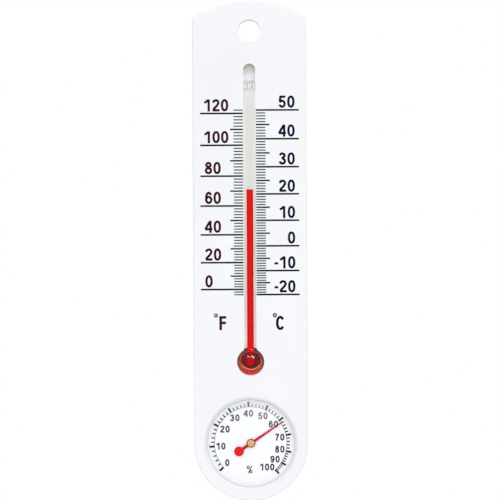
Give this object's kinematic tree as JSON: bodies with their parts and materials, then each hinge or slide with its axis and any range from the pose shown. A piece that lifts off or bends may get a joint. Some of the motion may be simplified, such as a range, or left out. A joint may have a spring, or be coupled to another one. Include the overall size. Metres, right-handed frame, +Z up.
{
  "type": "wall thermo-hygrometer",
  "caption": "Slim wall strip with an arched top, a hanging hole, a red spirit thermometer behind a slot, and a round dial hygrometer with a turning pointer at its lower end.",
  "frame": {"origin": "centre of the hanging hole on the front face", "axes": "+Z up along the strip, +Y from the front face towards the wall, +X to the viewer's right"},
  "size_m": [0.05, 0.0158, 0.22],
  "materials": {
    "shell_white": "white moulded polystyrene, satin",
    "cradle_white": "white moulded polystyrene, plain",
    "screw_steel": "zinc plated",
    "pad_foam": "soft foam",
    "clear_glass": "clear drawn tube",
    "enamel_white": "opal enamel coat",
    "spirit_red": "dyed spirit",
    "case_white": "white moulded plastic",
    "window_clear": "clear moulded polystyrene",
    "dial_white": "white printed aluminium",
    "brass": "turned",
    "shaft_steel": "polished pin",
    "pointer_red": "red lacquer",
    "coil_strip": "thin metal strip with a humidity-sensitive layer"
  },
  "bodies": {
    "root": {"front_shell": "shell_white", "stem_cradle": "cradle_white", "cradle_screws": "screw_steel", "stem_pads": "pad_foam", "thermometer_glass": "clear_glass", "enamel_backing": "enamel_white", "spirit_fill": "spirit_red", "spirit_column": "spirit_red", "hygrometer_case": "case_white", "case_screws": "screw_steel", "dial_lens": "window_clear", "dial_plate": "dial_white", "front_bush": "brass", "friction_washer": "shaft_steel"},
    "spirit_level": {"spirit_meniscus": "spirit_red"},
    "adjuster": {"adjuster_arm": "brass", "adjuster_spindle": "brass", "coil_anchor": "brass", "humidity_coil": "coil_strip"},
    "pointer_set": {"pointer": "pointer_red", "pointer_hub": "brass", "pointer_shaft": "shaft_steel", "coil_collet": "brass"}
  },
  "joints": [
    {"name": "spirit_rise", "type": "slide", "parent": "root", "child": "spirit_level", "axis": [0, 0, 1], "range_m": [-0.0463, 0.0348], "deforming": ["spirit_column"]},
    {"name": "calibration_turn", "type": "hinge", "parent": "root", "child": "adjuster", "pos_m": [0, 0.008, -0.1815], "axis": [0, 1, 0], "range_deg": [-15, 15]},
    {"name": "pointer_sweep", "type": "hinge", "parent": "adjuster", "child": "pointer_set", "pos_m": [0, 0.003, -0.1815], "axis": [0, 1, 0], "range_deg": [-187.3, 81.7], "stiffness_Nm_per_rad": 0.00001, "deforming": ["humidity_coil"]}
  ]
}
